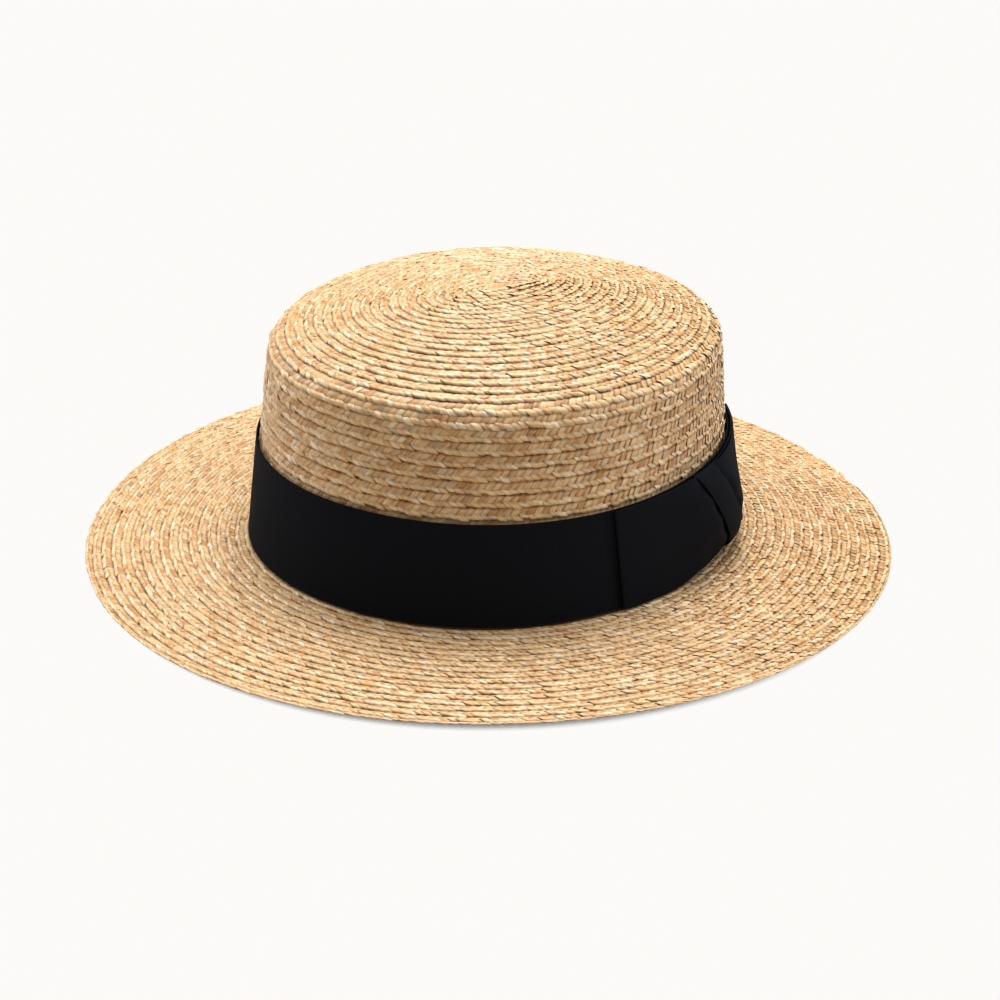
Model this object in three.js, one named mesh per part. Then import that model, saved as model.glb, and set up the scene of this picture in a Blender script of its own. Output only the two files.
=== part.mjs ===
// Straw boater hat: a sewn straw crown and brim, a grosgrain ribbon band and a flat bow at the side.
// Millimetres, +Z up. The origin is on the surface that the hat rests on, under the middle of the head.
// -Y is the front of the hat, and +X the wearer's left, where the bow sits.
import * as THREE from 'three';

// Sewn straw
const STRAW_WALL = 2;
const SEAT_GAP = 0.3; // clearance between pieces that are sewn to each other
const STEPS_ROUND = 72; // facets round the head oval
const OVAL_POWER = 2.07; // 2 is an ellipse, a little more squares the head oval

// Crown, measured outside
const CROWN_LENGTH = 198; // front to back at its foot
const CROWN_WIDTH = 175.4;
const CROWN_FOOT_HEIGHT = 8.1;
const CROWN_TAPER = 6.9; // how far the side leans in, foot to tip
const TIP_EDGE_HEIGHT = 84.5;
const TIP_RISE = 15; // dome of the tip above its edge
const TIP_POWER = 2.65; // 2 is a parabola, more flattens the middle of the tip
const CORNER_CUT = 2.6; // length that the rounded corner takes from the side and from the tip

// Brim
const BRIM_LENGTH = 320;
const BRIM_WIDTH = 303.6;
const EDGE_POWER = 2; // the edge is a plain ellipse
const EDGE_WALL = 1.3; // the straw thins to a single layer at the edge
const EDGE_LAND = 0.045; // share of the brim's width that lies flat on the surface
const EDGE_LIFT = 3.1; // how far the front and back of the edge curl up
const EDGE_REST = 0.88; // the edge rests where sin(2 angle) is above this

// Ribbon band
const RIBBON_WIDTH = 37.5;
const RIBBON_WALL = 1;
const BAND_BOTTOM = 8.2;

// Bow, tied from the same ribbon
const BOW_ANGLE = 5; // degrees from +X towards the back
const LOOP_LENGTH = 60; // middle of the knot to the folded end
const LOOP_STEPS = 30;
const SHEET_STEPS = 4; // facets across the ribbon
const PINCH_LOW = 10; // how far the gathered lower edge rises at the knot
const PINCH_HIGH = 5; // how far the gathered upper edge drops at the knot
const KNOT_SLANT = 26; // how far the knot leans forwards over the ribbon's width
const END_SLANT = 4; // the same lean at the folded end
const KNOT_WIDTH = 16.5;
const KNOT_STEPS = 36;

// One loop, out along the band and folded back: distance from the knot, stand-off from the band, gather
const LOOP_COURSE = [
  { along: 0.8, stand: 2.6, pinch: 1 },
  { along: 9, stand: 2.4, pinch: 0.85 },
  { along: 20, stand: 1.15, pinch: 0.2 },
  { along: 36, stand: 0.95, pinch: 0 },
  { along: 52, stand: 0.95, pinch: 0 },
  { along: 58.8, stand: 1.15, pinch: 0 },
  { along: LOOP_LENGTH, stand: 2.05, pinch: 0 },
  { along: 58.8, stand: 2.95, pinch: 0 },
  { along: 50, stand: 3.1, pinch: 0 },
  { along: 36, stand: 3.4, pinch: 0 },
  { along: 20, stand: 4.5, pinch: 0.2 },
  { along: 9, stand: 4.6, pinch: 0.9 },
  { along: 0.8, stand: 4.3, pinch: 1 },
];

// The knot's wrap round the gathered loops: stand-off from the band, height above the band's lower edge
const KNOT_COURSE = [
  { stand: 0.95, up: 4 },
  { stand: 0.95, up: 18 },
  { stand: 0.95, up: 33 },
  { stand: 2.6, up: 36.2 },
  { stand: 5.9, up: 35.8 },
  { stand: 7.2, up: 30 },
  { stand: 7.4, up: 20 },
  { stand: 6.9, up: 10 },
  { stand: 5, up: 3.6 },
  { stand: 2.6, up: 1.4 },
];

const SIDE_HEIGHT = TIP_EDGE_HEIGHT - CROWN_FOOT_HEIGHT;
const BRIM_TOP_AT_CROWN = CROWN_FOOT_HEIGHT - SEAT_GAP;
const BAND_FACE = SEAT_GAP + RIBBON_WALL; // the band's outer face, out from the crown
const BOW_RADIUS = CROWN_WIDTH / 2 + BAND_FACE;

// A point of an oval with the given half sizes, at a polar angle
function ovalPoint(halfWidth, halfLength, angle, z, power = OVAL_POWER) {
  const across = Math.abs(Math.cos(angle) / halfWidth) ** power;
  const along = Math.abs(Math.sin(angle) / halfLength) ** power;
  const radius = (across + along) ** (-1 / power);
  return new THREE.Vector3(radius * Math.cos(angle), radius * Math.sin(angle), z);
}

// A closed ring of points round the head, where pointAt takes a polar angle
function ringRound(pointAt) {
  const angles = Array.from({ length: STEPS_ROUND }, (_, i) => (2 * Math.PI * i) / STEPS_ROUND);
  return angles.map(pointAt);
}

// A point on the crown's side, out from it by the stand-off
function sidePoint(angle, z, standOff) {
  const leanIn = (CROWN_TAPER * (z - CROWN_FOOT_HEIGHT)) / SIDE_HEIGHT;
  const outset = standOff - leanIn;
  return ovalPoint(CROWN_WIDTH / 2 + outset, CROWN_LENGTH / 2 + outset, angle, z);
}

function signedVolume(points, faces) {
  const cross = new THREE.Vector3();
  const volumeOf = ([a, b, c]) => points[a].dot(cross.crossVectors(points[b], points[c])) / 6;
  return faces.reduce((sum, face) => sum + volumeOf(face), 0);
}

// A closed solid skinned over rings of points. A ring of one point is a pole, and wrapped joins last to first.
function skin(rings, wrapped) {
  const points = rings.flat();
  const starts = rings.map((_, i) => rings.slice(0, i).reduce((sum, ring) => sum + ring.length, 0));
  const faces = [];
  const joins = wrapped ? rings.length : rings.length - 1;
  for (let i = 0; i < joins; i += 1) {
    const next = (i + 1) % rings.length;
    const count = Math.max(rings[i].length, rings[next].length);
    const here = (k) => starts[i] + (k % rings[i].length);
    const there = (k) => starts[next] + (k % rings[next].length);
    for (let k = 0; k < count; k += 1) {
      if (rings[i].length > 1) faces.push([here(k), here(k + 1), there(k)]);
      if (rings[next].length > 1) faces.push([here(k + 1), there(k + 1), there(k)]);
    }
  }
  if (signedVolume(points, faces) < 0) faces.forEach((face) => face.reverse());
  const geometry = new THREE.BufferGeometry().setFromPoints(points);
  geometry.setIndex(faces.flat());
  geometry.computeVertexNormals();
  return geometry;
}

function centreOf(ring) {
  const sum = ring.reduce((total, point) => total.add(point), new THREE.Vector3());
  return sum.divideScalar(ring.length);
}

// The crown's half section from foot to middle: lean in from the foot, share of the oval, height
function crownSection() {
  const heightAt = (share) => TIP_EDGE_HEIGHT + TIP_RISE * (1 - share ** TIP_POWER);
  const sideShares = [0, 0.25, 0.5, 0.75, 1 - CORNER_CUT / SIDE_HEIGHT];
  const side = sideShares.map((share) => ({
    inset: share * CROWN_TAPER,
    share: 1,
    z: CROWN_FOOT_HEIGHT + share * SIDE_HEIGHT,
  }));
  const tipStart = 1 - CORNER_CUT / (CROWN_WIDTH / 2);
  const corner = new THREE.QuadraticBezierCurve(
    new THREE.Vector2(1, side.at(-1).z),
    new THREE.Vector2(1, TIP_EDGE_HEIGHT),
    new THREE.Vector2(tipStart, heightAt(tipStart)),
  );
  const round = corner.getPoints(3).slice(1);
  const tipShares = [0.9, 0.8, 0.66, 0.5, 0.33, 0.16];
  const tip = tipShares.map((share) => new THREE.Vector2(share, heightAt(share)));
  const top = [...round, ...tip].map(({ x, y }) => ({ inset: CROWN_TAPER, share: x, z: y }));
  return { side, top, middle: heightAt(0) };
}

// Hollow straw crown: side wall and domed tip in one, open below
function crownGeometry() {
  const { side, top, middle } = crownSection();
  const ringAt = ({ inset, share, z }, wall, drop) => ringRound((angle) => {
    const halfWidth = (CROWN_WIDTH / 2 - inset - wall) * share;
    const halfLength = (CROWN_LENGTH / 2 - inset - wall) * share;
    return ovalPoint(halfWidth, halfLength, angle, z - drop);
  });
  const outside = [
    ...side.map((row) => ringAt(row, 0, 0)),
    ...top.map((row) => ringAt(row, 0, 0)),
    [new THREE.Vector3(0, 0, middle)],
  ];
  const inside = [
    ...side.slice(0, -1).map((row) => ringAt(row, STRAW_WALL, 0)),
    ringAt(side.at(-1), STRAW_WALL, STRAW_WALL),
    ...top.map((row) => ringAt(row, STRAW_WALL, STRAW_WALL)),
    [new THREE.Vector3(0, 0, middle - STRAW_WALL)],
  ];
  return skin([...inside.reverse(), ...outside], false);
}

// Straw brim: a ring that slopes down from the crown, rests on its edge and curls up a little at front and back
function brimGeometry() {
  const headWidth = CROWN_WIDTH / 2 - STRAW_WALL;
  const headLength = CROWN_LENGTH / 2 - STRAW_WALL;
  const slope = BRIM_TOP_AT_CROWN - STRAW_WALL;
  const curl = (angle) => {
    const share = (EDGE_REST - Math.sin(2 * angle)) / (EDGE_REST + 1);
    return EDGE_LIFT * Math.max(0, share);
  };
  const ringAt = (share, rise) => ringRound((angle) => {
    const head = ovalPoint(headWidth, headLength, angle, 0);
    const edge = ovalPoint(BRIM_WIDTH / 2, BRIM_LENGTH / 2, angle, 0, EDGE_POWER);
    const fall = Math.min(1, share / (1 - EDGE_LAND));
    const under = slope * (1 - fall) + curl(angle) * share ** 2;
    return head.lerp(edge, share).setZ(under + rise);
  });
  const wallAt = (share) => THREE.MathUtils.lerp(STRAW_WALL, EDGE_WALL, share ** 4);
  const shares = [0, 0.2, 0.4, 0.6, 0.8, 1 - EDGE_LAND, 1];
  const top = shares.map((share) => ringAt(share, wallAt(share)));
  const under = shares.map((share) => ringAt(share, 0)).reverse();
  return skin([...top, ...under], true);
}

// Ribbon band once round the foot of the crown
function bandGeometry() {
  const bandTop = BAND_BOTTOM + RIBBON_WIDTH;
  const ringAt = (z, standOff) => ringRound((angle) => sidePoint(angle, z, standOff));
  const faces = [
    ringAt(BAND_BOTTOM, BAND_FACE),
    ringAt(bandTop, BAND_FACE),
    ringAt(bandTop, SEAT_GAP),
    ringAt(BAND_BOTTOM, SEAT_GAP),
  ];
  return skin(faces, true);
}

// A point of the bow: distance round the band from the knot, height above the band's lower edge, stand-off
function bowPoint(round, up, standOff, slant) {
  const lean = slant * (up / RIBBON_WIDTH - 0.5);
  const angle = THREE.MathUtils.degToRad(BOW_ANGLE) + (round - lean) / BOW_RADIUS;
  return sidePoint(angle, BAND_BOTTOM + up, BAND_FACE + standOff);
}

// One ribbon loop of the bow, out from the knot and folded back: direction is 1 to the back, -1 to the front
function loopGeometry(direction) {
  const course = LOOP_COURSE.map(({ along, stand, pinch }) => new THREE.Vector3(along, stand, pinch));
  const curve = new THREE.CatmullRomCurve3(course);
  const half = RIBBON_WALL / 2;
  const sectionAt = (share) => {
    const { x: along, y: stand, z: pinch } = curve.getPoint(share);
    const tangent = curve.getTangent(share).setZ(0).normalize();
    const low = PINCH_LOW * Math.max(0, pinch);
    const high = RIBBON_WIDTH - PINCH_HIGH * Math.max(0, pinch);
    const slant = THREE.MathUtils.lerp(KNOT_SLANT, END_SLANT, along / LOOP_LENGTH);
    const pointAt = (rowShare, side) => bowPoint(
      direction * (along - side * half * tangent.y),
      THREE.MathUtils.lerp(low, high, rowShare),
      stand + side * half * tangent.x,
      slant,
    );
    const rows = Array.from({ length: SHEET_STEPS + 1 }, (_, i) => i / SHEET_STEPS);
    return [...rows.map((row) => pointAt(row, 1)), ...rows.reverse().map((row) => pointAt(row, -1))];
  };
  const sections = Array.from({ length: LOOP_STEPS + 1 }, (_, i) => sectionAt(i / LOOP_STEPS));
  return skin([[centreOf(sections[0])], ...sections, [centreOf(sections.at(-1))]], false);
}

// The knot: a short ribbon wrapped round the gathered middle of the two loops
function knotGeometry() {
  const course = KNOT_COURSE.map(({ stand, up }) => new THREE.Vector3(stand, up, 0));
  const curve = new THREE.CatmullRomCurve3(course, true);
  const half = RIBBON_WALL / 2;
  const sectionAt = (share) => {
    const { x: stand, y: up } = curve.getPoint(share);
    const tangent = curve.getTangent(share);
    const pointAt = (edge, side) => bowPoint(
      (edge * KNOT_WIDTH) / 2,
      up - side * half * tangent.x,
      stand + side * half * tangent.y,
      KNOT_SLANT,
    );
    return [pointAt(-1, 1), pointAt(0, 1), pointAt(1, 1), pointAt(1, -1), pointAt(0, -1), pointAt(-1, -1)];
  };
  const sections = Array.from({ length: KNOT_STEPS }, (_, i) => sectionAt(i / KNOT_STEPS));
  return skin(sections, true);
}

const straw = new THREE.MeshStandardMaterial({ color: 0xd6b384, roughness: 0.8, metalness: 0 });
const ribbon = new THREE.MeshStandardMaterial({ color: 0x17161a, roughness: 0.85, metalness: 0 });

const pieces = [
  { name: 'crown', geometry: crownGeometry(), material: straw },
  { name: 'brim', geometry: brimGeometry(), material: straw },
  { name: 'hat_band', geometry: bandGeometry(), material: ribbon },
  { name: 'bow_loop_front', geometry: loopGeometry(-1), material: ribbon },
  { name: 'bow_loop_back', geometry: loopGeometry(1), material: ribbon },
  { name: 'bow_knot', geometry: knotGeometry(), material: ribbon },
];

const hat = new THREE.Group();
for (const { name, geometry, material } of pieces) {
  const mesh = new THREE.Mesh(geometry, material);
  mesh.name = name;
  hat.add(mesh);
}

export default hat;
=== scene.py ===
import math

import bpy
import numpy as np
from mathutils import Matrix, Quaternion, Vector


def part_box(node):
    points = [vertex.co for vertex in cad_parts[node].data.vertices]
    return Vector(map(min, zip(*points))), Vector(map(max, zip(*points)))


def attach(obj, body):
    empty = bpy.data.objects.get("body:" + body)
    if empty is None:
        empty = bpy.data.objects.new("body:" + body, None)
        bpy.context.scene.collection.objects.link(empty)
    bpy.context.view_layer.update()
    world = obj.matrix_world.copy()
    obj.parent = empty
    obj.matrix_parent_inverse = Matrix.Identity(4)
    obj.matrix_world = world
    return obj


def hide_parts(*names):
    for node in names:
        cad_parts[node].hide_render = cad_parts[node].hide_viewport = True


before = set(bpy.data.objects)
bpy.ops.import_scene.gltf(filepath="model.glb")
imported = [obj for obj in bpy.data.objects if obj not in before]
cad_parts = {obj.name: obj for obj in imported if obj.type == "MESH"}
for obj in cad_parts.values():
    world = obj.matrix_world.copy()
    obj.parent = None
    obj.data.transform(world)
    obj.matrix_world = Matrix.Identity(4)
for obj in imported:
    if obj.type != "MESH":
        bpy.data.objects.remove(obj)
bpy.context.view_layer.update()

# Camera
# The hat is seen three-quarter from its front left, a little above the tip, with a portrait lens.
# The camera leans slightly, so the right side of the brim sits lower in the picture.
MM = 0.001
CAMERA_PLACE_MM = (376.8, -737.6, 382.5)
CAMERA_AIM_MM = (2.4, 1.2, 13.0)
CAMERA_LENS_MM = 85.0
CAMERA_SENSOR_MM = 36.0
CAMERA_LEAN_DEG = 1.72

camera = bpy.data.objects.new("camera", bpy.data.cameras.new("camera"))
camera.data.sensor_width = CAMERA_SENSOR_MM
camera.data.lens = CAMERA_LENS_MM
camera.location = Vector(CAMERA_PLACE_MM) * MM
camera_line = (Vector(CAMERA_AIM_MM) - Vector(CAMERA_PLACE_MM)).to_track_quat("-Z", "Y")
camera.rotation_mode = "QUATERNION"
camera.rotation_quaternion = camera_line @ Quaternion((0, 0, 1), math.radians(CAMERA_LEAN_DEG))
bpy.context.scene.collection.objects.link(camera)
bpy.context.scene.camera = camera

# Studio
# A plain white floor that glows evenly bright, with only a thin painted shadow under the brim's edge.
# Light comes from a bright ceiling, a large soft lamp above and two weaker ones at the left and the right.
# The picture's gamma is a little below 1, for the firmer contrast of a studio picture.
FLOOR_COLOUR = "#fcfbf9"
FLOOR_SHADE = "#3a281b"
FLOOR_SIZE = 12.0
FLOOR_DROP = 0.0006
SHADOW_REACH = 0.1
SHADOW_OPENNESS = (0.02, 0.18)
CEILING_STRENGTH = 0.9
HORIZON_STRENGTH = 0.05
SKY_COLOUR = "#f3f8ff"
PICTURE_GAMMA = 0.85
LAMPS = (
    {"name": "top_lamp", "place": (-0.15, 0.45, 1.75), "size": 1.0, "watts": 35.0},
    {"name": "left_lamp", "place": (-1.6, -0.1, 0.8), "size": 0.9, "watts": 14.0},
    {"name": "right_lamp", "place": (1.5, 0.9, 0.8), "size": 0.9, "watts": 13.0},
)


def linear(hex_colour):
    """A hex sRGB colour as linear red, green, blue and alpha."""
    parts = [int(hex_colour[i : i + 2], 16) / 255 for i in (1, 3, 5)]
    return [c / 12.92 if c <= 0.04045 else ((c + 0.055) / 1.055) ** 2.4 for c in parts] + [1.0]


def add_node(tree, kind, settings=None, links=None):
    """Adds a node with its settings; links gives each input, by name or place, a socket or a value."""
    node = tree.nodes.new(kind)
    for name, value in (settings or {}).items():
        setattr(node, name, value)
    for key, value in (links or {}).items():
        socket = node.inputs[key]
        if isinstance(value, bpy.types.NodeSocket):
            tree.links.new(value, socket)
        else:
            socket.default_value = value
    return node


def new_material(name):
    """An empty node material, and its tree."""
    material = bpy.data.materials.new(name)
    material.use_nodes = True
    material.node_tree.nodes.clear()
    return material, material.node_tree


def mesh_object(name, points, faces, smooth=True):
    """A mesh object at the origin, from points in metres."""
    mesh = bpy.data.meshes.new(name)
    mesh.from_pydata([tuple(p) for p in points], [], [tuple(f) for f in faces])
    mesh.polygons.foreach_set("use_smooth", [smooth] * len(mesh.polygons))
    mesh.validate()
    piece = bpy.data.objects.new(name, mesh)
    bpy.context.scene.collection.objects.link(piece)
    return piece


# Glowing floor: even white, with a painted shadow only where something is close above it
floor_paint, floor_tree = new_material("glowing_floor_painted_shadow")
floor_open = add_node(floor_tree, "ShaderNodeAmbientOcclusion", links={"Distance": SHADOW_REACH})
floor_share = add_node(
    floor_tree,
    "ShaderNodeMapRange",
    {"interpolation_type": "SMOOTHSTEP"},
    {0: floor_open.outputs["AO"], 1: SHADOW_OPENNESS[0], 2: SHADOW_OPENNESS[1], 3: 0.0, 4: 1.0},
)
floor_colour = add_node(
    floor_tree,
    "ShaderNodeMix",
    {"data_type": "RGBA"},
    {"Factor": floor_share.outputs[0], "A": linear(FLOOR_SHADE), "B": linear(FLOOR_COLOUR)},
)
floor_glow = add_node(floor_tree, "ShaderNodeEmission", links={"Color": floor_colour.outputs["Result"]})
add_node(floor_tree, "ShaderNodeOutputMaterial", links={"Surface": floor_glow.outputs[0]})
half = FLOOR_SIZE / 2
corners = [(-half, -half), (half, -half), (half, half), (-half, half)]
floor = mesh_object("floor", [(x, y, -FLOOR_DROP) for x, y in corners], [(0, 1, 2, 3)], smooth=False)
floor.data.materials.append(floor_paint)

world = bpy.data.worlds.new("bright_ceiling")
world.use_nodes = True
sky = world.node_tree
sky_place = add_node(sky, "ShaderNodeTexCoord")
sky_height = add_node(sky, "ShaderNodeSeparateXYZ", links={0: sky_place.outputs["Generated"]})
sky_strength = add_node(
    sky,
    "ShaderNodeMapRange",
    links={0: sky_height.outputs["Z"], 1: 0.0, 2: 1.0, 3: HORIZON_STRENGTH, 4: CEILING_STRENGTH},
)
sky.links.new(sky_strength.outputs[0], sky.nodes["Background"].inputs["Strength"])
sky.nodes["Background"].inputs["Color"].default_value = linear(SKY_COLOUR)
bpy.context.scene.world = world
bpy.context.scene.view_settings.view_transform = "Standard"
bpy.context.scene.view_settings.gamma = PICTURE_GAMMA

for lamp in LAMPS:
    data = bpy.data.lights.new(lamp["name"], "AREA")
    data.shape = "DISK"
    data.size = lamp["size"]
    data.energy = lamp["watts"]
    data.color = linear(SKY_COLOUR)[:3]
    light = bpy.data.objects.new(lamp["name"], data)
    light.location = lamp["place"]
    light.rotation_mode = "QUATERNION"
    light.rotation_quaternion = (-Vector(lamp["place"])).to_track_quat("-Z", "Y")
    bpy.context.scene.collection.objects.link(light)

# Straw plait of the crown
# A long flat plait of split straw, wound from the middle of the tip outwards and down the side.
# Each turn is sewn over the edge of the next, like roof tiles, so every turn ends in a rounded lip.
# Sizes are in mm, and rows count the turns of the plait from the middle of the tip
PLAIT_PITCH = 4.65
SPLINT_STEP = 2.7
INSIDE_STEP = 3.4
OVAL_POWER = 2.07
TIP_START_ROW = -0.5
TIP_ROWS = 20
TIP_EDGE_SHARE = 0.945
TIP_RISE = 15.0
TIP_POWER = 2.65
TIP_CORNER_DROP = 2.3
CROWN_TAPER = 6.9
START_HALF_LENGTH = 15.0
START_ANGLE_DEG = 63.0

crown_low, crown_high = (np.array(corner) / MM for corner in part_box("crown"))
CROWN_FOOT = crown_low[2]
CROWN_HALF = (crown_high - crown_low)[:2] / 2
TIP_EDGE = crown_high[2] - TIP_RISE
TIP_HALF = CROWN_HALF - CROWN_TAPER
SIDE_TOP = TIP_EDGE - TIP_CORNER_DROP
FOOT_TUCK = 1.5
SIDE_ROWS = (SIDE_TOP - CROWN_FOOT + FOOT_TUCK) / PLAIT_PITCH
CROWN_ROWS = TIP_ROWS + 1 + SIDE_ROWS


def oval_share(x, y, half, power=OVAL_POWER):
    """How far out a point lies in the oval of these half sizes: 0 in the middle, 1 on the oval."""
    return (np.abs(x / half[0]) ** power + np.abs(y / half[1]) ** power) ** (1 / power)


def oval_point(half_width, half_length, angle, power=OVAL_POWER):
    """A point of an oval at a polar angle."""
    reach = 1 / oval_share(np.cos(angle), np.sin(angle), (half_width, half_length), power)
    return reach * np.cos(angle), reach * np.sin(angle)


def tip_height(share):
    """Height of the domed tip, by the share of the way out to its edge."""
    return TIP_EDGE + TIP_RISE * (1 - share**TIP_POWER)


def crown_point(row, angle):
    """A point of the crown by its row of plait, counted from the middle of the tip, and its polar angle."""
    tip_share = TIP_EDGE_SHARE * np.clip(row / TIP_ROWS, TIP_START_ROW / TIP_ROWS, 1)
    corner = np.clip(row - TIP_ROWS, 0, 1)
    drop = np.clip(row - TIP_ROWS - 1, 0, SIDE_ROWS) * PLAIT_PITCH
    share = tip_share + (1 - TIP_EDGE_SHARE) * corner
    side_height = SIDE_TOP - drop
    lean_in = CROWN_TAPER * (side_height - CROWN_FOOT) / (TIP_EDGE - CROWN_FOOT)
    outset = np.where(row > TIP_ROWS + 1, CROWN_TAPER - lean_in, 0)
    x, y = oval_point(TIP_HALF[0] + outset, TIP_HALF[1] + outset, angle)
    start = math.radians(START_ANGLE_DEG)
    along = START_HALF_LENGTH * (1 - share) * np.cos(angle - start)
    x = x * share + along * math.cos(start)
    y = y * share + along * math.sin(start)
    tip_z = tip_height(np.minimum(oval_share(x, y, TIP_HALF), TIP_EDGE_SHARE))
    z = np.where(row > TIP_ROWS, tip_z + (SIDE_TOP - tip_z) * corner - drop, tip_z)
    return np.stack([x, y, z], axis=-1)


COURSE_STEP = 0.002
LEAST_WIDTH = 1e-6
MEASURES_PER_TURN = 400


def plait_frame(course, turns):
    """The plait along its spiral course: its upper edge, the way across it, outwards, and its scale."""
    point_at, start_deg = course
    angle = math.radians(start_deg) + 2 * math.pi * turns
    top = point_at(turns, angle)
    across = point_at(turns + 1, angle) - top
    ahead = point_at(turns + 0.5 + COURSE_STEP, angle + 2 * math.pi * COURSE_STEP)
    along = ahead - point_at(turns + 0.5, angle)
    width = np.linalg.norm(across, axis=-1, keepdims=True)
    across = across / np.maximum(width, LEAST_WIDTH)
    outward = np.cross(along, across)
    outward = outward / np.linalg.norm(outward, axis=-1, keepdims=True)
    return top, across, -outward, width / PLAIT_PITCH


def even_turns(course, first, last, spacing):
    """Places along a spiral course, in turns, that lie evenly apart."""
    point_at, start_deg = course
    fine = np.linspace(first, last, int((last - first) * MEASURES_PER_TURN))
    angle = math.radians(start_deg) + 2 * math.pi * fine
    middle = point_at(fine + 0.5, angle)
    length = np.concatenate([[0], np.cumsum(np.linalg.norm(np.diff(middle, axis=0), axis=1))])
    return np.interp(np.arange(0, length[-1], spacing), length, fine)


# The plait's own section, across and outwards in mm: over the top from its hidden edge to its lip, then back
PLAIT_SECTION = (
    (-1.5, -1.8), (0.0, -1.55), (1.3, -1.15), (2.3, -1.0), (3.5, -0.55), (4.2, -0.65),
    (4.4, -0.95), (4.3, -1.3), (2.2, -1.7), (0.0, -2.05), (-1.5, -2.25),
)
CORE_STEP = 4.5


def plait_core(name, course, first, last):
    """The plait's body as one closed strip along its spiral course."""
    turns = even_turns(course, first, last, CORE_STEP)
    top, across, outward, scale = (values[:, None, :] for values in plait_frame(course, turns))
    section = np.array(PLAIT_SECTION)[None]
    points = top + (across * section[..., :1] + outward * section[..., 1:]) * scale
    count, sides = points.shape[:2]
    here = np.arange(count - 1)[:, None] * sides + np.arange(sides)[None, :]
    there = np.arange(count - 1)[:, None] * sides + (np.arange(sides)[None, :] + 1) % sides
    quads = np.stack([here, there, there + sides, here + sides], axis=-1).reshape(-1, 4)
    ends = [tuple(range(sides))[::-1], tuple((count - 1) * sides + np.arange(sides))]
    return mesh_object(name, points.reshape(-1, 3) * MM, quads.tolist() + ends)


# Each row of the plait shows two columns of splints that lean against each other, in mm:
# where a splint starts and ends across the row, its lean along it, its half width, crown and roll,
# and its heights from start to end. Shade is painted shade: how dark it is painted in the holes at its start
# and at its end, and along its sides, for the shadow that falls there.
SPLINTS = {
    "inner": {
        "across": (-0.5, 3.1), "lean": 2.7, "half_width": 1.62, "crown": 0.14, "roll": 0.1,
        "heights": (-1.1, -0.72, -0.4, -0.26, -0.5), "shade": (1.0, 0.7, 0.5),
    },
    "outer": {
        "across": (2.3, 4.8), "lean": -2.2, "half_width": 1.64, "crown": 0.2, "roll": 0.08,
        "heights": (-0.5, -0.02, 0.14, 0.02, -0.85), "shade": (0.4, 0.85, 0.4),
    },
}
# Places of a splint's points across it, from side to side, and along it, from start to end
FINE_GRID = ((-1.0, -0.5, 0.4, 1.0), (0.0, 0.2, 0.4, 0.8, 1.0))
PLAIN_GRID = ((-1.0, -0.5, 1.0), (0.0, 0.2, 0.6, 1.0))
END_NARROWING = 0.2
# Where the painted shade of a splint's holes lies, and how much of it reaches away from the darkest corner
START_SHADE_SHARE = 0.2
START_SHADE_SIDE = -0.4
END_SHADE_RISE = 3.5
END_SHADE_SIDE = 0.1
HOLE_SHADE_REST = 0.6
FAR_SIDE_SHADE = 0.6


def splint_mesh(name, grid):
    """One splint of the plait: a leaning, cushioned strip, with its fibre direction and painted shade kept
    on its points.
    """
    sides, shares = grid
    row = SPLINTS[name]
    low, high = row["across"]
    at_start, at_end, at_side = row["shade"]
    points, grain_and_shade = [], []
    for share in shares:
        height = np.interp(share, np.linspace(0, 1, len(row["heights"])), row["heights"])
        narrow = 1 - END_NARROWING * abs(2 * share - 1) ** 3
        for side in sides:
            x = row["lean"] * (share - 0.5) + side * row["half_width"] * narrow
            z = height - row["crown"] * side * side + row["roll"] * side
            # Painted shade for the shadow in the holes at the splint's start and end, and along its sides
            start_shade_zone = share <= START_SHADE_SHARE
            end_shade_ramp = max(0, END_SHADE_RISE * share - END_SHADE_RISE + 1)
            start_hole_shade = at_start * start_shade_zone * (1 if side < START_SHADE_SIDE else HOLE_SHADE_REST)
            end_hole_shade = at_end * end_shade_ramp * (1 if side > END_SHADE_SIDE else HOLE_SHADE_REST)
            side_shade = at_side * ((side == -1) + FAR_SIDE_SHADE * (side == 1))
            points.append((x, low + (high - low) * share, z))
            grain_and_shade.append((side, share, min(1, start_hole_shade + end_hole_shade + side_shade)))
    columns = len(sides)
    faces = [
        (r * columns + c, r * columns + c + 1, (r + 1) * columns + c + 1, (r + 1) * columns + c)
        for r in range(len(shares) - 1)
        for c in range(columns - 1)
    ]
    splint = mesh_object(name, np.array(points) * MM, faces)
    attribute = splint.data.attributes.new("grain_and_shade", "FLOAT_VECTOR", "POINT")
    attribute.data.foreach_set("vector", np.array(grain_and_shade, dtype=np.float32).ravel())
    return splint


fine_splints = {
    "Inner splint": splint_mesh("inner", FINE_GRID),
    "Outer splint": splint_mesh("outer", FINE_GRID),
}
plain_splints = {
    "Inner splint": splint_mesh("inner", PLAIN_GRID),
    "Outer splint": splint_mesh("outer", PLAIN_GRID),
}


# Natural straw: split and flattened stalks, pale gold with paler, greyer and browner ones among them.
# The skin is slightly glossy, with fibres along each splint and warm brown shade painted into the gaps
# between the splints.
# A fibre is drawn about 0.6 mm wide, coarser than a real one, so that it shows.
STRAW_TONES = (
    (0.0, "#a5723f"),
    (0.25, "#cb9b65"),
    (0.5, "#e1ba85"),
    (0.75, "#f1d4a9"),
    (1.0, "#fff1db"),
)
STRAW_GREY = "#cdb898"
STRAW_GAP_SHADE = "#704119"
FIBRES_ACROSS = 2.6
FIBRES_ALONG = 0.8
FIBRE_SHIFT = (40.0, 17.0, 9.0)
FIBRE_CONTRAST = 1.1
FIBRE_RELIEF = 0.25
FIBRE_DEPTH = 0.0002
GAP_DRAWS = 53.0
GAP_LEAST = 0.35
GAP_MOST = 1.1

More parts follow.
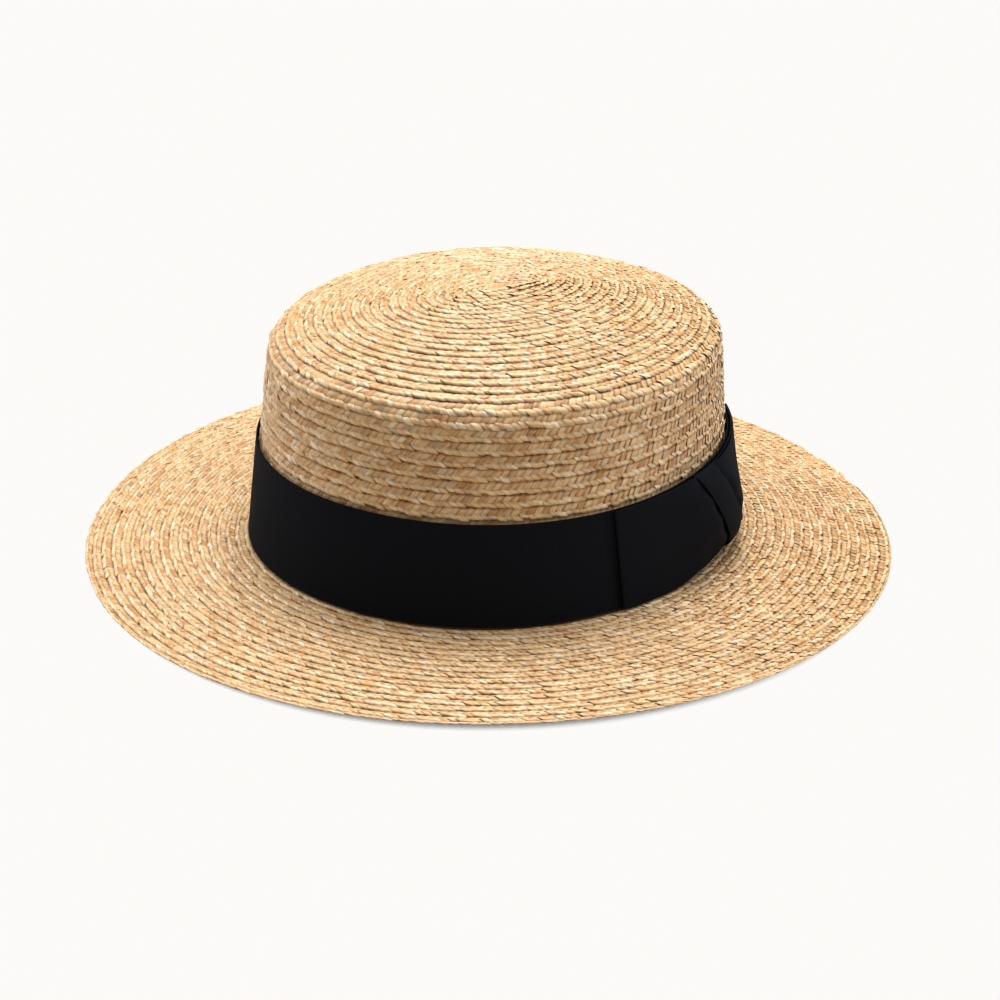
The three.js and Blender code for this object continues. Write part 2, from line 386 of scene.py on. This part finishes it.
straw, straw_tree = new_material("natural_split_straw")
tone = add_node(straw_tree, "ShaderNodeAttribute", {"attribute_name": "tone"})
greyness = add_node(straw_tree, "ShaderNodeAttribute", {"attribute_name": "greyness"})
grain_and_shade = add_node(straw_tree, "ShaderNodeAttribute", {"attribute_name": "grain_and_shade"})
fibre_scale = add_node(
    straw_tree,
    "ShaderNodeVectorMath",
    {"operation": "MULTIPLY"},
    {0: grain_and_shade.outputs["Vector"], 1: (FIBRES_ACROSS, FIBRES_ALONG, 1.0)},
)
fibre_place = add_node(
    straw_tree,
    "ShaderNodeVectorMath",
    {"operation": "MULTIPLY_ADD"},
    {0: tone.outputs["Color"], 1: FIBRE_SHIFT, 2: fibre_scale.outputs[0]},
)
fibres = add_node(
    straw_tree,
    "ShaderNodeTexNoise",
    {"noise_dimensions": "3D"},
    {"Vector": fibre_place.outputs[0], "Scale": 1.0, "Detail": 3.0},
)
shade = add_node(
    straw_tree,
    "ShaderNodeMath",
    {"operation": "MULTIPLY_ADD"},
    {0: fibres.outputs["Fac"], 1: FIBRE_CONTRAST, 2: tone.outputs["Fac"]},
)
shade = add_node(
    straw_tree, "ShaderNodeMath", {"operation": "SUBTRACT"}, {0: shade.outputs[0], 1: FIBRE_CONTRAST / 2}
)
ramp = add_node(straw_tree, "ShaderNodeValToRGB", links={0: shade.outputs[0]})
while len(ramp.color_ramp.elements) < len(STRAW_TONES):
    ramp.color_ramp.elements.new(0.5)
for element, (place, colour) in zip(ramp.color_ramp.elements, STRAW_TONES):
    element.position = place
    element.color = linear(colour)
greyed = add_node(
    straw_tree,
    "ShaderNodeMix",
    {"data_type": "RGBA"},
    {"Factor": greyness.outputs["Fac"], "A": ramp.outputs["Color"], "B": linear(STRAW_GREY)},
)
# Some gaps are pulled shut and some stand open, so each splint takes its own share of the painted shade
shaded = add_node(straw_tree, "ShaderNodeSeparateXYZ", links={0: grain_and_shade.outputs["Vector"]})
gap_draw = add_node(
    straw_tree, "ShaderNodeMath", {"operation": "MULTIPLY"}, {0: tone.outputs["Fac"], 1: GAP_DRAWS}
)
gap_draw = add_node(straw_tree, "ShaderNodeMath", {"operation": "FRACT"}, {0: gap_draw.outputs[0]})
gap_share = add_node(
    straw_tree,
    "ShaderNodeMapRange",
    links={0: gap_draw.outputs[0], 1: 0.0, 2: 1.0, 3: GAP_LEAST, 4: GAP_MOST},
)
gap_shade = add_node(
    straw_tree,
    "ShaderNodeMath",
    {"operation": "MULTIPLY", "use_clamp": True},
    {0: shaded.outputs["Z"], 1: gap_share.outputs[0]},
)
# Painted shade: the warm brown gap colour, mixed in by each point's share of shade
straw_colour = add_node(
    straw_tree,
    "ShaderNodeMix",
    {"data_type": "RGBA"},
    {"Factor": gap_shade.outputs[0], "A": greyed.outputs["Result"], "B": linear(STRAW_GAP_SHADE)},
)
fibre_bump = add_node(
    straw_tree,
    "ShaderNodeBump",
    links={"Strength": FIBRE_RELIEF, "Distance": FIBRE_DEPTH, "Height": fibres.outputs["Fac"]},
)
straw_shader = add_node(
    straw_tree,
    "ShaderNodeBsdfPrincipled",
    links={
        "Base Color": straw_colour.outputs["Result"],
        "Roughness": 0.45,
        "Specular IOR Level": 0.45,
        "Normal": fibre_bump.outputs[0],
    },
)
add_node(straw_tree, "ShaderNodeOutputMaterial", links={"Surface": straw_shader.outputs[0]})

# Shaded straw: the plait's body under its splints, seen only in the gaps, painted darker for the shade there
BODY_PATCH_MM = 3.0
BODY_DARK = "#7a5630"
BODY_PALE = "#b48c5a"
straw_body, body_tree = new_material("shaded_straw_body")
body_place = add_node(body_tree, "ShaderNodeTexCoord")
body_noise = add_node(
    body_tree,
    "ShaderNodeTexNoise",
    links={"Vector": body_place.outputs["Object"], "Scale": 1 / (BODY_PATCH_MM * MM), "Detail": 4.0},
)
body_colour = add_node(
    body_tree,
    "ShaderNodeMix",
    {"data_type": "RGBA"},
    {"Factor": body_noise.outputs["Fac"], "A": linear(BODY_DARK), "B": linear(BODY_PALE)},
)
body_shader = add_node(
    body_tree,
    "ShaderNodeBsdfPrincipled",
    links={"Base Color": body_colour.outputs["Result"], "Roughness": 0.8, "Specular IOR Level": 0.2},
)
add_node(body_tree, "ShaderNodeOutputMaterial", links={"Surface": body_shader.outputs[0]})

# The inner splints lie under the lip of the row before and are painted darker for its shade: splint, darkest
# and palest tone
COLUMN_TONES_AND_SHADE = (("Inner splint", 0.34, 0.5), ("Outer splint", 0.5, 0.68))
# Tones and greyness run in groups along the plait, and each splint's tone also has its own chance
SEED_STRIDE = 10.0
STALK_STEP = 0.37
GROUP_SPREAD = (0.28, 0.72)
SINGLE_TONE = 0.18
GREY_SHIFT = 57.0
GREY_SPREAD = (0.5, 0.75)
GREY_MOST = 0.45


def plait_laying_tree():
    """Lays both splints of the plait on each point of its path, with small random turns and tones."""
    tree = bpy.data.node_groups.new("lay_plait", "GeometryNodeTree")
    sockets = tree.interface
    sockets.new_socket("Path", in_out="INPUT", socket_type="NodeSocketGeometry")
    sockets.new_socket("Inner splint", in_out="INPUT", socket_type="NodeSocketObject")
    sockets.new_socket("Outer splint", in_out="INPUT", socket_type="NodeSocketObject")
    sockets.new_socket("Straw", in_out="INPUT", socket_type="NodeSocketMaterial")
    sockets.new_socket("Turn jitter", in_out="INPUT", socket_type="NodeSocketFloat")
    sockets.new_socket("Size jitter", in_out="INPUT", socket_type="NodeSocketFloat")
    sockets.new_socket("Seed", in_out="INPUT", socket_type="NodeSocketInt")
    sockets.new_socket("Plait", in_out="OUTPUT", socket_type="NodeSocketGeometry")
    given = tree.nodes.new("NodeGroupInput")
    named = {
        name: add_node(
            tree, "GeometryNodeInputNamedAttribute", {"data_type": "FLOAT_VECTOR"}, {"Name": name}
        ).outputs["Attribute"]
        for name in ("across", "outward", "fit")
    }
    facing = add_node(
        tree,
        "FunctionNodeAxesToRotation",
        {"primary_axis": "Z", "secondary_axis": "Y"},
        {"Primary Axis": named["outward"], "Secondary Axis": named["across"]},
    )
    index = tree.nodes.new("GeometryNodeInputIndex")
    least_turn = add_node(
        tree, "ShaderNodeMath", {"operation": "MULTIPLY"}, {0: given.outputs["Turn jitter"], 1: -1.0}
    )
    least_size = add_node(
        tree, "ShaderNodeMath", {"operation": "SUBTRACT"}, {0: 1.0, 1: given.outputs["Size jitter"]}
    )
    most_size = add_node(
        tree, "ShaderNodeMath", {"operation": "ADD"}, {0: 1.0, 1: given.outputs["Size jitter"]}
    )
    joined = tree.nodes.new("GeometryNodeJoinGeometry")
    for column, (splint, darkest, palest) in enumerate(COLUMN_TONES_AND_SHADE):
        seed = add_node(
            tree,
            "ShaderNodeMath",
            {"operation": "MULTIPLY_ADD"},
            {0: given.outputs["Seed"], 1: SEED_STRIDE, 2: float(column)},
        )
        turn = add_node(
            tree,
            "FunctionNodeRandomValue",
            {"data_type": "FLOAT_VECTOR"},
            {"Min": least_turn.outputs[0], "Max": given.outputs["Turn jitter"], "Seed": seed.outputs[0]},
        )
        jitter = add_node(tree, "FunctionNodeEulerToRotation", links={0: turn.outputs["Value"]})
        turned = add_node(
            tree,
            "FunctionNodeRotateRotation",
            {"rotation_space": "LOCAL"},
            {"Rotation": facing.outputs[0], "Rotate By": jitter.outputs[0]},
        )
        size = add_node(
            tree,
            "FunctionNodeRandomValue",
            {"data_type": "FLOAT_VECTOR"},
            {"Min": least_size.outputs[0], "Max": most_size.outputs[0], "Seed": seed.outputs[0]},
        )
        fitted = add_node(
            tree,
            "ShaderNodeVectorMath",
            {"operation": "MULTIPLY"},
            {0: size.outputs["Value"], 1: named["fit"]},
        )
        shape = add_node(tree, "GeometryNodeObjectInfo", links={"Object": given.outputs[splint]})
        laid = add_node(
            tree,
            "GeometryNodeInstanceOnPoints",
            links={
                "Points": given.outputs["Path"],
                "Instance": shape.outputs["Geometry"],
                "Rotation": turned.outputs[0],
                "Scale": fitted.outputs[0],
            },
        )
        # Neighbouring splints come from one stalk or bundle, so tones run in short groups
        stalk = add_node(
            tree,
            "ShaderNodeMath",
            {"operation": "MULTIPLY_ADD"},
            {0: index.outputs[0], 1: STALK_STEP, 2: seed.outputs[0]},
        )
        group = add_node(
            tree,
            "ShaderNodeTexNoise",
            {"noise_dimensions": "1D"},
            {"W": stalk.outputs[0], "Scale": 1.0, "Detail": 0.0},
        )
        single = add_node(
            tree,
            "FunctionNodeRandomValue",
            links={"Min": -SINGLE_TONE, "Max": SINGLE_TONE, "Seed": seed.outputs[0]},
        )
        spread = add_node(
            tree,
            "ShaderNodeMapRange",
            links={0: group.outputs["Fac"], 1: GROUP_SPREAD[0], 2: GROUP_SPREAD[1], 3: darkest, 4: palest},
        )
        tone_value = add_node(
            tree,
            "ShaderNodeMath",
            {"operation": "ADD"},
            {0: spread.outputs[0], 1: single.outputs[1]},
        )
        toned = add_node(
            tree,
            "GeometryNodeStoreNamedAttribute",
            {"data_type": "FLOAT", "domain": "INSTANCE"},
            {"Geometry": laid.outputs[0], "Name": "tone", "Value": tone_value.outputs[0]},
        )
        stalk_grey = add_node(
            tree, "ShaderNodeMath", {"operation": "ADD"}, {0: stalk.outputs[0], 1: GREY_SHIFT}
        )
        grey_group = add_node(
            tree,
            "ShaderNodeTexNoise",
            {"noise_dimensions": "1D"},
            {"W": stalk_grey.outputs[0], "Scale": 1.0, "Detail": 0.0},
        )
        grey_value = add_node(
            tree,
            "ShaderNodeMapRange",
            links={0: grey_group.outputs["Fac"], 1: GREY_SPREAD[0], 2: GREY_SPREAD[1], 3: 0.0, 4: GREY_MOST},
        )
        greyed_splints = add_node(
            tree,
            "GeometryNodeStoreNamedAttribute",
            {"data_type": "FLOAT", "domain": "INSTANCE"},
            {"Geometry": toned.outputs[0], "Name": "greyness", "Value": grey_value.outputs[0]},
        )
        tree.links.new(greyed_splints.outputs[0], joined.inputs[0])
    real = add_node(tree, "GeometryNodeRealizeInstances", links={0: joined.outputs[0]})
    finished = add_node(
        tree,
        "GeometryNodeSetMaterial",
        links={"Geometry": real.outputs[0], "Material": given.outputs["Straw"]},
    )
    add_node(tree, "NodeGroupOutput", links={0: finished.outputs[0]})
    return tree


lay_plait = plait_laying_tree()
TURN_JITTER = 0.07
SIZE_JITTER = 0.09
# On the inner face the plait is flatter and shifted across, and lies just clear of the body, in mm
INSIDE_RELIEF = 0.5
INSIDE_SHIFT = 3.1
INSIDE_DEPTH = 2.5


def plait_splints(name, course, first, last, seed, inside=False):
    """The splints of a stretch of plait, on its outer face or, with inside, on its inner face."""
    turns = even_turns(course, first, last, INSIDE_STEP if inside else SPLINT_STEP)
    top, across, outward, scale = plait_frame(course, turns)
    if inside:
        top = top + (across * INSIDE_SHIFT - outward * INSIDE_DEPTH) * scale
        across, outward = -across, -outward
    path = bpy.data.meshes.new(name)
    path.vertices.add(len(top))
    path.vertices.foreach_set("co", (top * MM).astype(np.float32).ravel())
    relief = scale * (INSIDE_RELIEF if inside else 1)
    fit = np.concatenate([np.ones_like(scale), scale, relief], axis=1)
    for label, values in (("across", across), ("outward", outward), ("fit", fit)):
        attribute = path.attributes.new(label, "FLOAT_VECTOR", "POINT")
        attribute.data.foreach_set("vector", values.astype(np.float32).ravel())
    piece = bpy.data.objects.new(name, path)
    bpy.context.scene.collection.objects.link(piece)
    laying = piece.modifiers.new("lay_plait", "NODES")
    laying.node_group = lay_plait
    values = {
        **(plain_splints if inside else fine_splints),
        "Straw": straw,
        "Turn jitter": TURN_JITTER,
        "Size jitter": SIZE_JITTER,
        "Seed": seed,
    }
    for item in lay_plait.interface.items_tree:
        if item.in_out == "INPUT" and item.name in values:
            laying[item.identifier] = values[item.name]
    made = bpy.data.meshes.new_from_object(piece.evaluated_get(bpy.context.evaluated_depsgraph_get()))
    piece.modifiers.clear()
    piece.data = made
    made.name = name
    made.polygons.foreach_set("use_smooth", [True] * len(made.polygons))
    return piece


band_low, band_high = (np.array(corner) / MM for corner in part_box("hat_band"))
ROWS_UNDER_BAND = 1.2
ROWS_TO_BAND = TIP_ROWS + 1 + (SIDE_TOP - band_high[2]) / PLAIT_PITCH + ROWS_UNDER_BAND
BODY_STOP = 0.02
INSIDE_STOP = 0.3

crown_course = (crown_point, START_ANGLE_DEG)
crown_body = plait_core("crown_plait_body", crown_course, TIP_START_ROW, CROWN_ROWS - BODY_STOP)
crown_body.data.materials.append(straw_body)
tip_plait = plait_splints("crown_tip_plait", crown_course, TIP_START_ROW, TIP_ROWS, 1)
side_plait = plait_splints("crown_side_plait", crown_course, TIP_ROWS, ROWS_TO_BAND, 2)
inside_plait = plait_splints(
    "crown_inside_plait", crown_course, 0.0, CROWN_ROWS - INSIDE_STOP, 3, inside=True
)
for piece in (crown_body, tip_plait, side_plait, inside_plait):
    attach(piece, "root")
    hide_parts("crown")

# Straw plait of the brim
# The same plait goes on round the head opening, turn by turn, to the edge of the brim.
# The brim slopes down a little, rests on its edge at two sides and curls up slightly at front and back.
EDGE_LIFT = 3.1
EDGE_REST = 0.88
EDGE_LAND = 0.045
EDGE_WALL = 1.3
STRAW_WALL = 2.0
SEAT_GAP = 0.3
BRIM_ROWS = 18.0
BRIM_START_DEG = 100.0
BRIM_POWER = 2.0
EDGE_STOP = 0.15
UNDER_STOP = 1.3

brim_low, brim_high = (np.array(corner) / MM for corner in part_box("brim"))
BRIM_HALF = (brim_high - brim_low)[:2] / 2
HEAD_HALF = CROWN_HALF - STRAW_WALL
BRIM_SLOPE = CROWN_FOOT - SEAT_GAP - STRAW_WALL


def brim_point(row, angle):
    """A point of the brim's upper face by its row of plait, counted from the head, and its polar angle."""
    share = np.clip(row / BRIM_ROWS, 0, 1)
    head = np.stack(oval_point(*HEAD_HALF, angle), axis=-1)
    edge = np.stack(oval_point(*BRIM_HALF, angle, BRIM_POWER), axis=-1)
    flat = head + (edge - head) * share[..., None]
    curl = EDGE_LIFT * np.maximum(0, (EDGE_REST - np.sin(2 * angle)) / (EDGE_REST + 1))
    fall = np.minimum(1, share / (1 - EDGE_LAND))
    wall = STRAW_WALL + (EDGE_WALL - STRAW_WALL) * share**4
    z = wall + BRIM_SLOPE * (1 - fall) + curl * share**2
    return np.concatenate([flat, z[..., None]], axis=-1)


brim_course = (brim_point, BRIM_START_DEG)
brim_body = plait_core("brim_plait_body", brim_course, 0.0, BRIM_ROWS - EDGE_STOP)
brim_body.data.materials.append(straw_body)
top_plait = plait_splints("brim_top_plait", brim_course, 0.0, BRIM_ROWS / 2, 4)
edge_plait = plait_splints("brim_edge_plait", brim_course, BRIM_ROWS / 2, BRIM_ROWS - EDGE_STOP, 6)
under_plait = plait_splints("brim_under_plait", brim_course, 0.0, BRIM_ROWS - UNDER_STOP, 5, inside=True)
for piece in (brim_body, top_plait, edge_plait, under_plait):
    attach(piece, "root")
    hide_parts("brim")
# The single splints were only patterns for the plait
for splint in (*fine_splints.values(), *plain_splints.values()):
    bpy.data.objects.remove(splint)

# Hat band
# A band of black grosgrain ribbon, wrapped tight round the foot of the crown and joined under the bow.
# It is one woven strip with a fine rib across its width and a firm selvedge along both edges.
RIBBON_WIDTH = band_high[2] - band_low[2]
BAND_BOTTOM = band_low[2]
BAND_FACE = 1.3
RIBBON_THICKNESS = 0.6
RIBBON_EDGE_DEG = 50.0
BOW_ANGLE_DEG = 5.0


def side_point(angle, z, stand):
    """A point at a height, standing off the side of the crown."""
    lean_in = CROWN_TAPER * (z - CROWN_FOOT) / (TIP_EDGE - CROWN_FOOT)
    x, y = oval_point(CROWN_HALF[0] - lean_in + stand, CROWN_HALF[1] - lean_in + stand, angle)
    return np.stack([x, y, z], axis=-1)


def ribbon_sheet(name, middle, joined):
    """A closed sheet of ribbon about its middle face, a grid of points along and across it in mm."""
    count, sides = middle.shape[:2]
    wrap = "wrap" if joined else "edge"
    along = np.pad(middle, ((1, 1), (0, 0), (0, 0)), wrap)
    outward = np.cross(along[2:] - along[:-2], np.gradient(middle, axis=1))
    outward = outward / np.linalg.norm(outward, axis=-1, keepdims=True)
    faces = [middle + outward * RIBBON_THICKNESS / 2, middle - outward * RIBBON_THICKNESS / 2]
    points = np.concatenate([face.reshape(-1, 3) for face in faces])
    back = count * sides
    quads = []
    for i in range(count if joined else count - 1):
        here, there = i * sides, (i + 1) % count * sides
        for j in range(sides - 1):
            quads.append((here + j, there + j, there + j + 1, here + j + 1))
            quads.append((back + here + j + 1, back + there + j + 1, back + there + j, back + here + j))
        low, high = 0, sides - 1
        quads.append((back + here + low, back + there + low, there + low, here + low))
        quads.append((here + high, there + high, back + there + high, back + here + high))
    for j in range(0 if joined else sides - 1):
        last = (count - 1) * sides
        quads.append((j, j + 1, back + j + 1, back + j))
        quads.append((last + j + 1, last + j, back + last + j, back + last + j + 1))
    sheet = mesh_object(name, points * MM, quads)
    sheet.data.set_sharp_from_angle(angle=math.radians(RIBBON_EDGE_DEG))
    steps = np.linalg.norm(np.diff(middle[:, sides // 2], axis=0), axis=-1)
    length = np.concatenate([[0], np.cumsum(steps)])
    weave = np.zeros((2, count, sides, 3), dtype=np.float32)
    weave[..., 0] = length[None, :, None] * MM
    weave[..., 1] = np.linspace(0, RIBBON_WIDTH, sides)[None, None, :] * MM
    attribute = sheet.data.attributes.new("weave", "FLOAT_VECTOR", "POINT")
    attribute.data.foreach_set("vector", weave.ravel())
    return sheet


# Black grosgrain: a matt, ribbed weave; the ribs run across the ribbon and catch a faint grey light
# The ribbon's black is lifted a little and tinted blue, as a painted reflection of the pale sky
GROSGRAIN_BLACK_SKY_TINT = "#1a1b20"
RIB_PITCH_MM = 0.8
RIB_RELIEF = 0.2
RIB_DEPTH = 0.0002
ribbon, ribbon_tree = new_material("black_grosgrain")
weave = add_node(ribbon_tree, "ShaderNodeAttribute", {"attribute_name": "weave"})
rib = add_node(
    ribbon_tree,
    "ShaderNodeTexWave",
    {"bands_direction": "X"},
    {"Vector": weave.outputs["Vector"], "Scale": math.pi / (10 * RIB_PITCH_MM * MM), "Distortion": 0.0},
)
rib_bump = add_node(
    ribbon_tree,
    "ShaderNodeBump",
    links={"Strength": RIB_RELIEF, "Distance": RIB_DEPTH, "Height": rib.outputs["Fac"]},
)
ribbon_shader = add_node(
    ribbon_tree,
    "ShaderNodeBsdfPrincipled",
    links={
        "Base Color": linear(GROSGRAIN_BLACK_SKY_TINT),
        "Roughness": 0.8,
        "Specular IOR Level": 0.07,
        "Normal": rib_bump.outputs[0],
    },
)
add_node(ribbon_tree, "ShaderNodeOutputMaterial", links={"Surface": ribbon_shader.outputs[0]})

BAND_STEPS = 160
BAND_LINES = 9
band_angle = math.radians(BOW_ANGLE_DEG) + np.linspace(0, 2 * math.pi, BAND_STEPS, endpoint=False)
band_up = np.linspace(0, RIBBON_WIDTH, BAND_LINES)
band_angle, band_up = np.meshgrid(band_angle, band_up, indexing="ij")
band_grid = side_point(band_angle, BAND_BOTTOM + band_up, BAND_FACE - RIBBON_THICKNESS / 2)
hat_band = ribbon_sheet("ribbon_band", band_grid, joined=True)
hat_band.data.materials.append(ribbon)
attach(hat_band, "root")
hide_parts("hat_band")

# Bow loops
# Two flat loops of the same ribbon on the left side, one to the front and one to the back of the knot.
# Each is folded back on itself, pressed flat at its end and gathered where the knot holds it.
BOW_RADIUS = CROWN_HALF[0] + BAND_FACE
LOOP_LENGTH = 60.0
KNOT_SLANT = 26.0
END_SLANT = 4.0
LOOP_LINES = 17
COURSE_DIVISIONS = 6
# At full pinch the knot draws the lower edge up, and the upper edge up a little too
PINCH_LOW = 8.0
PINCH_HIGH = 1.5
PLEATS = 3
PLEAT_DEPTH = 0.3
PLEAT_POWER = 1.5
PRESSED_STAND = 1.1
PRESSED_SHARE = 0.25
LOW_PRESS = (0.35, 0.7)
LOW_PRESS_ALONG = (9.0, 18.0)
# Course of a loop from the knot along the crown, round its end and back: along, off the band, pinch
LOOP_COURSE = (
    (0.8, 2.6, 0.3), (9.0, 2.2, 0.2), (20.0, 0.7, 0.0), (36.0, 0.5, 0.0), (52.0, 0.5, 0.0),
    (59.2, 0.6, 0.0), (60.0, 1.1, 0.0), (59.2, 1.6, 0.0), (50.0, 1.9, 0.0), (36.0, 3.0, 0.03),
    (26.0, 5.0, 0.3), (17.0, 7.4, 0.75), (11.0, 8.2, 1.0), (6.5, 6.6, 1.1), (0.8, 6.2, 1.1),
)


def smooth_course(course, steps, joined):
    """Points of a smooth curve through a course, evenly divided between its points."""
    knots = np.array(course)
    if joined:
        padded = np.pad(knots, ((1, 2), (0, 0)), "wrap")
    else:
        padded = np.pad(knots, ((1, 1), (0, 0)), "edge")
    made = []
    for a, b, c, d in zip(padded[:-3], padded[1:-2], padded[2:-1], padded[3:]):
        for t in np.linspace(0, 1, steps, endpoint=False):
            bend = 2 * a - 5 * b + 4 * c - d
            made.append(0.5 * (2 * b + (c - a) * t + bend * t**2 + (3 * b - a - 3 * c + d) * t**3))
    if not joined:
        made.append(knots[-1])
    return np.array(made)


def bow_point(around, up, stand, slant):
    """A point of the bow: around the crown from the knot, up the ribbon and off the band, on a slant."""
    turn = (around - slant * (up / RIBBON_WIDTH - 0.5)) / BOW_RADIUS
    return side_point(math.radians(BOW_ANGLE_DEG) + turn, BAND_BOTTOM + up, BAND_FACE + stand)


def bow_loop(name, direction):
    """A loop of the bow, to the front with direction -1 or to the back with 1."""
    along, stand, pinch = smooth_course(LOOP_COURSE, COURSE_DIVISIONS, joined=False).T[:, :, None]
    across = np.linspace(0, 1, LOOP_LINES)[None, :]
    pinch = np.maximum(pinch, 0)
    low = PINCH_LOW * pinch
    high = RIBBON_WIDTH + PINCH_HIGH * pinch
    up = low + (high - low) * across
    slant = KNOT_SLANT + (END_SLANT - KNOT_SLANT) * along / LOOP_LENGTH
    # Both edges are pressed down on the band, the lower one less near the knot
    pressed = PRESSED_STAND + PRESSED_SHARE * (stand - PRESSED_STAND)
    low_press = np.interp(along, LOW_PRESS_ALONG, LOW_PRESS)
    stand = stand + (pressed - stand) * (across**3 + low_press * (1 - across) ** 3)
    # The gathers run out from the knot
    pleat = PLEAT_DEPTH * pinch**PLEAT_POWER * np.cos(2 * math.pi * PLEATS * across)
    around = direction * along + 0 * up
    return ribbon_sheet(name, bow_point(around, up, stand + pleat, slant), joined=False)


for name, node, direction in (
    ("ribbon_loop_front", "bow_loop_front", -1),
    ("ribbon_loop_back", "bow_loop_back", 1),
):
    loop = bow_loop(name, direction)
    loop.data.materials.append(ribbon)
    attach(loop, "root")
    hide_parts(node)

# Bow knot
# A short end of the same ribbon, folded narrow, that goes once round the middle of the bow.
# It is pulled tight over the loops, on a slant, and sewn to the band behind them.
KNOT_WIDTH = 14.0
KNOT_LINES = 9
KNOT_EDGE_DIP = 0.5
KNOT_FRONT = 2.0
# Course of the knot, up behind the loops and down over them: off the band, up the ribbon
KNOT_COURSE = (
    (0.5, 4.0), (0.5, 18.0), (0.5, 33.0), (1.6, 38.0), (4.4, 38.3),
    (7.0, 31.0), (7.9, 20.0), (7.4, 11.0), (5.2, 4.4), (2.2, 2.4),
)
knot_stand, knot_up = smooth_course(KNOT_COURSE, COURSE_DIVISIONS, joined=True).T[:, :, None]
knot_across = np.linspace(-0.5, 0.5, KNOT_LINES)[None, :]
knot_dip = KNOT_EDGE_DIP * (2 * knot_across) ** 4 * (knot_stand > KNOT_FRONT)
knot_around, knot_up = np.broadcast_arrays(KNOT_WIDTH * knot_across, knot_up)
knot_grid = bow_point(knot_around, knot_up, knot_stand - knot_dip, KNOT_SLANT)
knot = ribbon_sheet("ribbon_knot", knot_grid, joined=True)
knot.data.materials.append(ribbon)
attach(knot, "root")
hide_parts("bow_knot")
